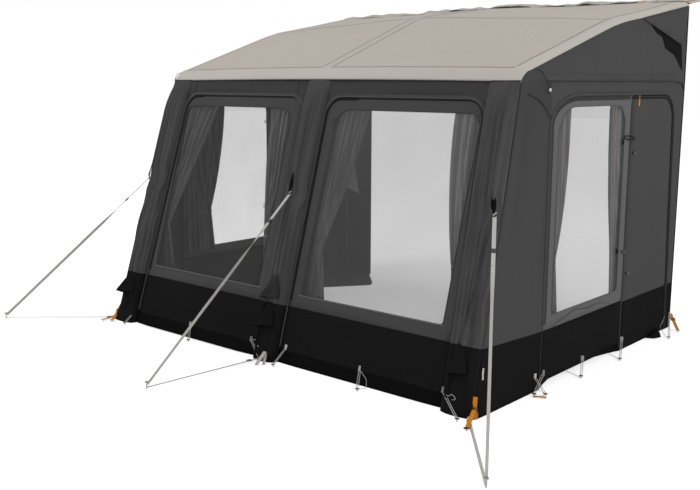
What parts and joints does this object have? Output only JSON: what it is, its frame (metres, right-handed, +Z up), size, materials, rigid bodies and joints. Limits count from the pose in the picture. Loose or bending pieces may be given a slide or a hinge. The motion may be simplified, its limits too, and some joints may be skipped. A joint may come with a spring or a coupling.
{
  "type": "inflatable campervan awning",
  "caption": "Freestanding air-beam awning for a campervan's side, with a sloping roof, window bays, side doors, curtains and storm guys.",
  "frame": {"origin": "on the ground, midway across the awning and midway between the front of the leg sleeves and the tip of the rear strip", "axes": "+X to the right as seen from in front, +Y to the rear, towards the vehicle, +Z up"},
  "size_m": [4.5552, 3.7013, 2.4948],
  "materials": {
    "roof_cloth": "coated woven polyester, matt",
    "wall_cloth": "coated woven polyester, matt",
    "mud_cloth": "heavy coated cloth, satin",
    "leaf_cloth": "coated woven polyester, matt",
    "clear_film": "clear soft vinyl, glossy",
    "curtain_cloth": "light curtain cloth, matt",
    "foam_pad": "padded cloth, matt",
    "air_tube": "inflated tube in its cloth jacket, satin",
    "webbing": "woven polyester tape, matt",
    "black_plastic": "moulded, satin",
    "peg_steel": "zinc plated",
    "orange_tape": "woven tape, matt"
  },
  "bodies": {
    "awning": {"left_air_beam": "air_tube", "left_corner_panel": "wall_cloth", "left_front_header": "wall_cloth", "left_front_inner_curtain": "curtain_cloth", "left_front_mudwall": "mud_cloth", "left_front_outer_curtain": "curtain_cloth", "left_guy_peg": "peg_steel", "left_guy_return": "webbing", "left_guy_strap": "webbing", "left_leg_sleeve": "wall_cloth", "left_rear_pad": "foam_pad", "left_side_forward_curtain": "curtain_cloth", "left_side_mudwall": "mud_cloth", "left_side_pane": "clear_film", "left_side_rearward_curtain": "curtain_cloth", "left_side_wall": "wall_cloth", "left_window_panel": "leaf_cloth", "middle_air_beam": "air_tube", "middle_guy_peg": "peg_steel", "middle_guy_return": "webbing", "middle_guy_strap": "webbing", "middle_leg_sleeve": "wall_cloth", "rear_rail_strip": "roof_cloth", "right_air_beam": "air_tube", "right_corner_panel": "wall_cloth", "right_front_header": "wall_cloth", "right_front_inner_curtain": "curtain_cloth", "right_front_mudwall": "mud_cloth", "right_front_outer_curtain": "curtain_cloth", "right_guy_peg": "peg_steel", "right_guy_return": "webbing", "right_guy_strap": "webbing", "right_leg_sleeve": "wall_cloth", "right_rear_pad": "foam_pad", "right_side_forward_curtain": "curtain_cloth", "right_side_mudwall": "mud_cloth", "right_side_pane": "clear_film", "right_side_rearward_curtain": "curtain_cloth", "right_side_wall": "wall_cloth", "right_window_panel": "leaf_cloth", "roof_canopy": "roof_cloth"},
    "left_front_window": {"left_front_panel": "wall_cloth", "left_front_pane": "clear_film"},
    "right_front_window": {"right_front_panel": "wall_cloth", "right_front_pane": "clear_film"},
    "left_side_door": {"left_door": "wall_cloth"},
    "right_side_door": {"right_door": "wall_cloth"},
    "left_puller": {"left_zip_puller": "orange_tape"},
    "right_puller": {"right_zip_puller": "orange_tape"},
    "left_hood": {"left_valve_hood": "mud_cloth"},
    "middle_hood": {"middle_valve_hood": "mud_cloth"},
    "middle_cover": {"middle_upper_hood": "wall_cloth"},
    "right_hood": {"right_valve_hood": "mud_cloth"},
    "left_cap": {"left_valve_cap": "black_plastic"},
    "middle_cap": {"middle_valve_cap": "black_plastic"},
    "right_cap": {"right_valve_cap": "black_plastic"},
    "left_runner": {"left_guy_runner": "black_plastic"},
    "middle_runner": {"middle_guy_runner": "black_plastic"},
    "right_runner": {"right_guy_runner": "black_plastic"}
  },
  "joints": [
    {"name": "left_front_window_fold", "type": "hinge", "parent": "awning", "child": "left_front_window", "pos_m": [0, -1.24732, 0.3656], "axis": [1, 0, 0], "range_deg": [0, 100]},
    {"name": "left_door_swing", "type": "hinge", "parent": "awning", "child": "left_side_door", "pos_m": [-1.705, 0.4085, 0], "axis": [0, 0, 1], "range_deg": [0, 100]},
    {"name": "left_puller_slide", "type": "slide", "parent": "left_side_door", "child": "left_puller", "axis": [0, 1, 0], "range_m": [0, 0.3]},
    {"name": "right_front_window_fold", "type": "hinge", "parent": "awning", "child": "right_front_window", "pos_m": [0, -1.24732, 0.3656], "axis": [1, 0, 0], "range_deg": [0, 100]},
    {"name": "right_door_swing", "type": "hinge", "parent": "awning", "child": "right_side_door", "pos_m": [1.705, 0.4085, 0], "axis": [0, 0, -1], "range_deg": [0, 100]},
    {"name": "right_puller_slide", "type": "slide", "parent": "right_side_door", "child": "right_puller", "axis": [0, 1, 0], "range_m": [0, 0.3]},
    {"name": "left_hood_lift", "type": "hinge", "parent": "awning", "child": "left_hood", "pos_m": [-1.54014, -1.30631, 0.38762], "axis": [-1, 0, 0], "range_deg": [0, 70]},
    {"name": "left_cap_turn", "type": "hinge", "parent": "awning", "child": "left_cap", "pos_m": [-1.54593, -1.33772, 0.26657], "axis": [0, -0.9599, 0.2805], "continuous": true},
    {"name": "middle_hood_lift", "type": "hinge", "parent": "awning", "child": "middle_hood", "pos_m": [0, -1.30631, 0.38762], "axis": [-1, 0, 0], "range_deg": [0, 70]},
    {"name": "middle_cap_turn", "type": "hinge", "parent": "awning", "child": "middle_cap", "pos_m": [0, -1.33772, 0.26657], "axis": [0, -0.9599, 0.2805], "continuous": true},
    {"name": "right_hood_lift", "type": "hinge", "parent": "awning", "child": "right_hood", "pos_m": [1.54014, -1.30631, 0.38762], "axis": [-1, 0, 0], "range_deg": [0, 70]},
    {"name": "right_cap_turn", "type": "hinge", "parent": "awning", "child": "right_cap", "pos_m": [1.54593, -1.33772, 0.26657], "axis": [0, -0.9599, 0.2805], "continuous": true},
    {"name": "middle_cover_lift", "type": "hinge", "parent": "awning", "child": "middle_cover", "pos_m": [0, -1.25225, 0.57262], "axis": [-1, 0, 0], "range_deg": [0, 70]},
    {"name": "left_runner_slide", "type": "slide", "parent": "awning", "child": "left_runner", "axis": [-0.4531, -0.5721, -0.6837], "range_m": [-0.18, 0.5]},
    {"name": "middle_runner_slide", "type": "slide", "parent": "awning", "child": "middle_runner", "axis": [-0.0476, -0.7371, -0.6741], "range_m": [-0.18, 0.5]},
    {"name": "right_runner_slide", "type": "slide", "parent": "awning", "child": "right_runner", "axis": [0.393, -0.6288, -0.671], "range_m": [-0.18, 0.5]}
  ]
}
